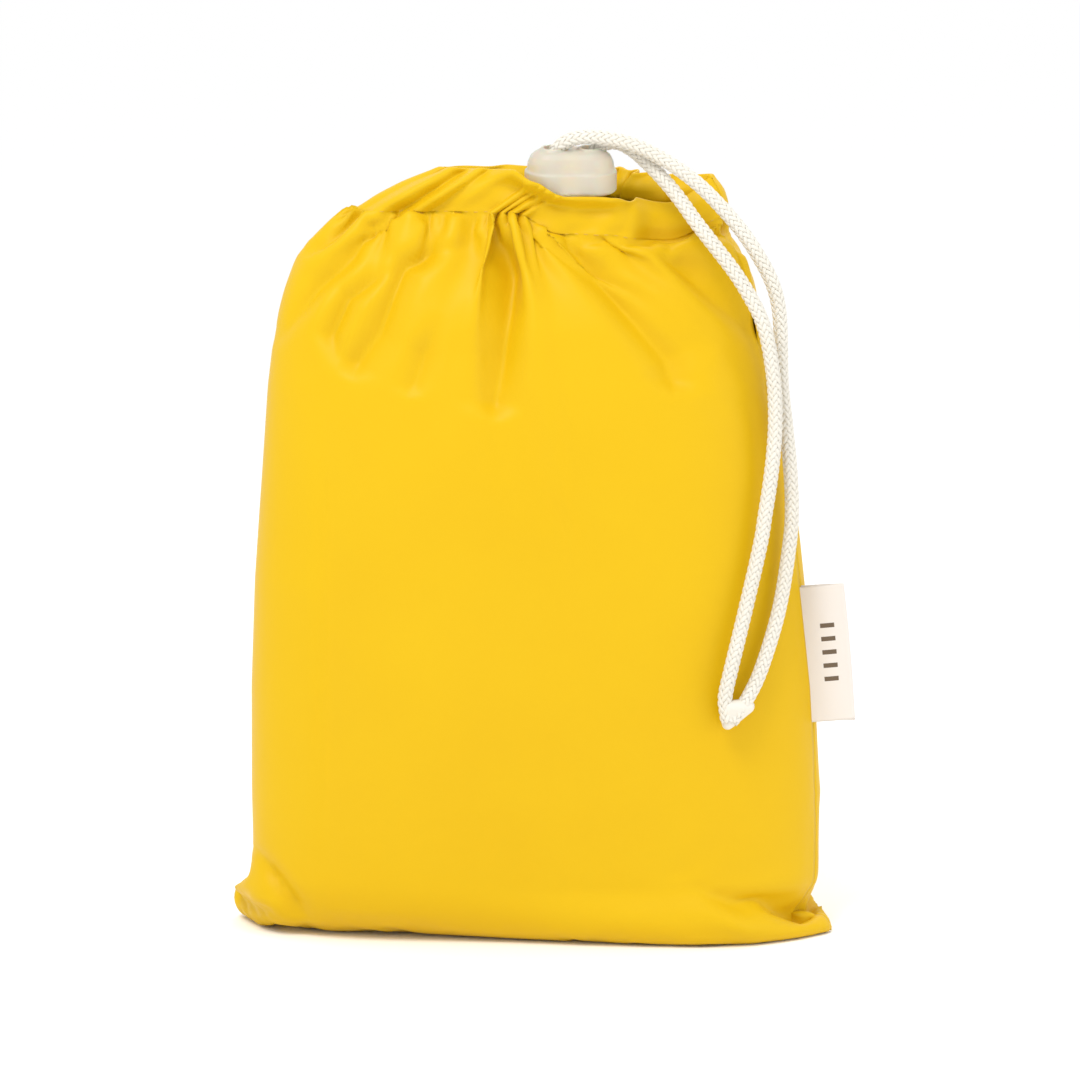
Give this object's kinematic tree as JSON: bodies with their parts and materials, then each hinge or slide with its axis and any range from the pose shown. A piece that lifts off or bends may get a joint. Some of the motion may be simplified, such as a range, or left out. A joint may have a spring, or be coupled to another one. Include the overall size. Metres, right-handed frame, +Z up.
{
  "type": "drawstring pouch",
  "caption": "Small filled drawstring pouch in coated cloth with a gathered mouth, a cord loop through a moulded stopper, and a blank ribbon label.",
  "frame": {"origin": "middle of the base, on the surface that the pouch stands on", "axes": "+Z up, front faces -Y, +X to the right seen from the front"},
  "size_m": [0.1748, 0.0631, 0.2269],
  "materials": {
    "cloth": "thin coated plain-weave nylon, soft sheen",
    "thread": "polyester sewing thread",
    "cord": "braided polyester",
    "stopper": "frosted translucent soft plastic",
    "ribbon": "satin woven ribbon"
  },
  "bodies": {
    "pouch": {"front_panel": "cloth", "back_panel": "cloth", "left_seam": "cloth", "right_seam": "cloth", "bottom_seam": "cloth", "front_casing": "cloth", "back_casing": "cloth", "casing_stitching": "thread", "cord_casing_run": "cord"},
    "stopper": {"cord_stopper": "stopper", "outer_strand": "cord", "inner_strand": "cord", "cord_join": "cord"},
    "label": {"label_ribbon": "ribbon"}
  },
  "joints": [
    {"name": "stopper_slide", "type": "slide", "parent": "pouch", "child": "stopper", "axis": [0, -0.2079, 0.9781], "range_m": [0, 0.02]},
    {"name": "label_flap", "type": "hinge", "parent": "pouch", "child": "label", "pos_m": [0.0767, -0.0096, 0.0604], "axis": [-0.0924, 0, 0.9957], "range_deg": [-70, 70], "stiffness_Nm_per_rad": 0.0005}
  ]
}
